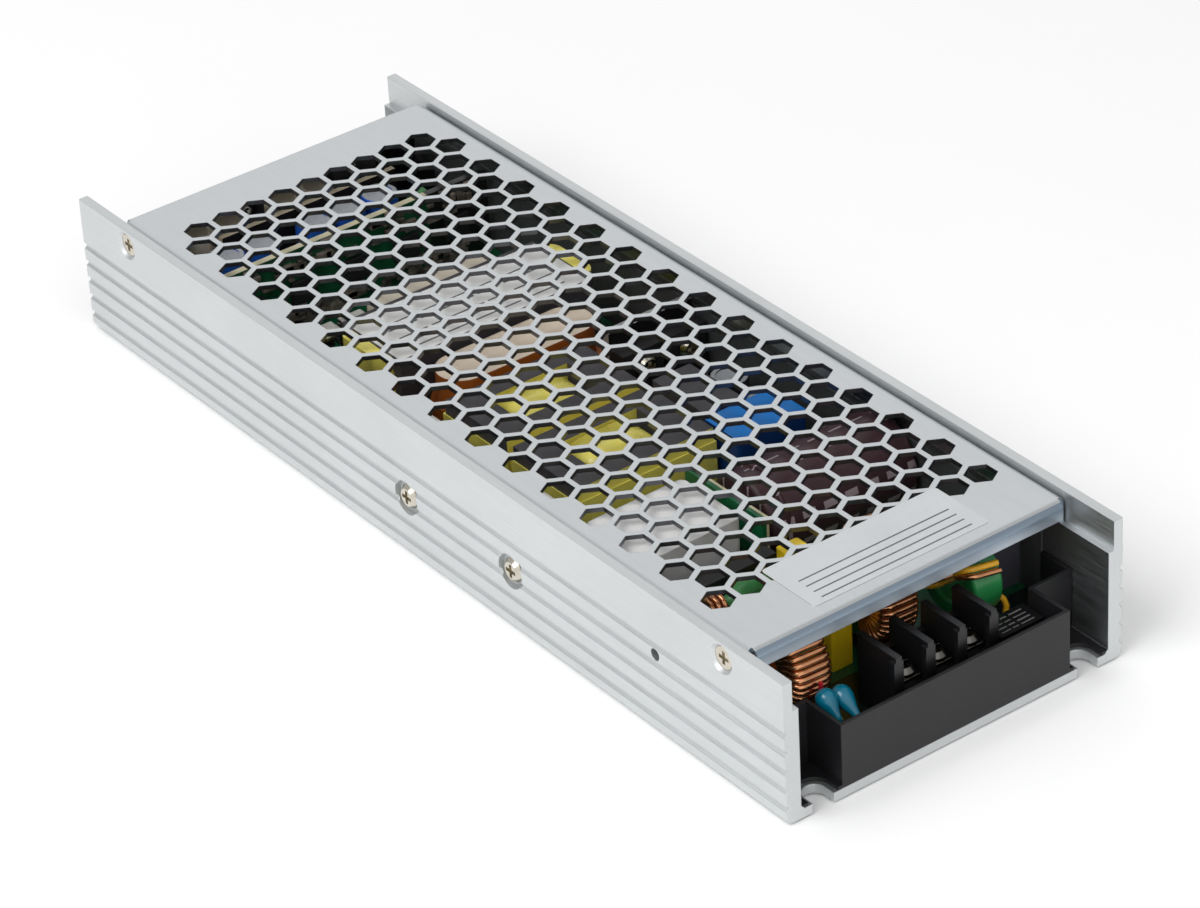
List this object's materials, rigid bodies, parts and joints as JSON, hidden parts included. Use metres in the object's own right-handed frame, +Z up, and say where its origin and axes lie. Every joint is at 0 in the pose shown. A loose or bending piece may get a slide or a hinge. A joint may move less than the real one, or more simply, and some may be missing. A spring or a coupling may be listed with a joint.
{
  "type": "enclosed switching power supply",
  "caption": "Slim fanless enclosed switching power supply: grooved aluminium channel case, honeycomb-perforated lid and barrier terminal blocks at the open ends.",
  "frame": {"origin": "middle of the underside of the case, in the plane it rests on", "axes": "+X across the case, +Y along the case from the input end to the output end, +Z up through the lid"},
  "size_m": [0.081, 0.232, 0.031],
  "materials": {
    "case_aluminium": "satin extruded",
    "lid_sheet": "satin sheet",
    "plated_screws": "zinc plated",
    "tinned_metal": "tin plated",
    "brass_posts": "turned brass",
    "liner_film": "insulating film",
    "housing_black": "moulded, satin",
    "terminal_black": "moulded",
    "package_black": "moulded epoxy",
    "board_green": "solder mask",
    "disc_blue": "dipped",
    "box_yellow": "moulded",
    "core_green": "painted ferrite",
    "copper_wire": "enamelled copper",
    "yellow_wire": "sleeved wire",
    "purple_sleeve": "printed sleeve",
    "white_case": "moulded",
    "film_blue": "moulded",
    "ferrite": "matte ferrite",
    "yellow_tape": "polyester tape",
    "beige_tape": "wrapped tape",
    "brown_winding": "wound wire",
    "sink_black": "black anodised",
    "dark_sleeve": "sleeve",
    "blue_sleeve": "sleeve",
    "can_metal": "drawn can"
  },
  "bodies": {
    "root": {"chassis": "case_aluminium", "lid": "lid_sheet", "lid_screws": "plated_screws", "clamp_screws": "plated_screws", "board_screws": "plated_screws", "switch_screws": "plated_screws", "input_terminal_screws": "plated_screws", "output_terminal_screws": "plated_screws", "input_contacts": "tinned_metal", "output_contacts": "tinned_metal", "input_washers": "tinned_metal", "output_washers": "tinned_metal", "transistor_clips": "tinned_metal", "output_busbar": "tinned_metal", "board_posts": "brass_posts", "liner": "liner_film", "insulating_card": "liner_film", "input_housing": "housing_black", "output_housing": "housing_black", "input_terminal_block": "terminal_black", "output_terminal_block": "terminal_black", "line_fuse": "terminal_black", "choke_bases": "terminal_black", "bridge_rectifier": "package_black", "wall_transistors": "package_black", "switch_transistors": "package_black", "rectifier_chips": "package_black", "board_rectifiers": "package_black", "main_board": "board_green", "control_card": "board_green", "rectifier_board": "board_green", "disc_capacitors": "disc_blue", "box_capacitor": "box_yellow", "left_choke_core": "core_green", "right_choke_core": "core_green", "filter_choke_core": "core_green", "left_choke_windings": "copper_wire", "right_choke_windings": "copper_wire", "filter_choke_wire": "yellow_wire", "bulk_capacitor": "purple_sleeve", "relay": "white_case", "film_capacitor": "film_blue", "boost_inductor_cores": "ferrite", "transformer_core": "ferrite", "auxiliary_transformer": "ferrite", "boost_inductor_windings": "yellow_tape", "boost_inductor_tapes": "yellow_tape", "transformer_winding": "yellow_tape", "resonant_inductor": "beige_tape", "transformer_bobbin": "beige_tape", "resonant_winding": "brown_winding", "switch_heatsink": "sink_black", "auxiliary_capacitors": "dark_sleeve", "sleeved_capacitors": "blue_sleeve", "can_capacitors": "can_metal"}
  },
  "joints": []
}
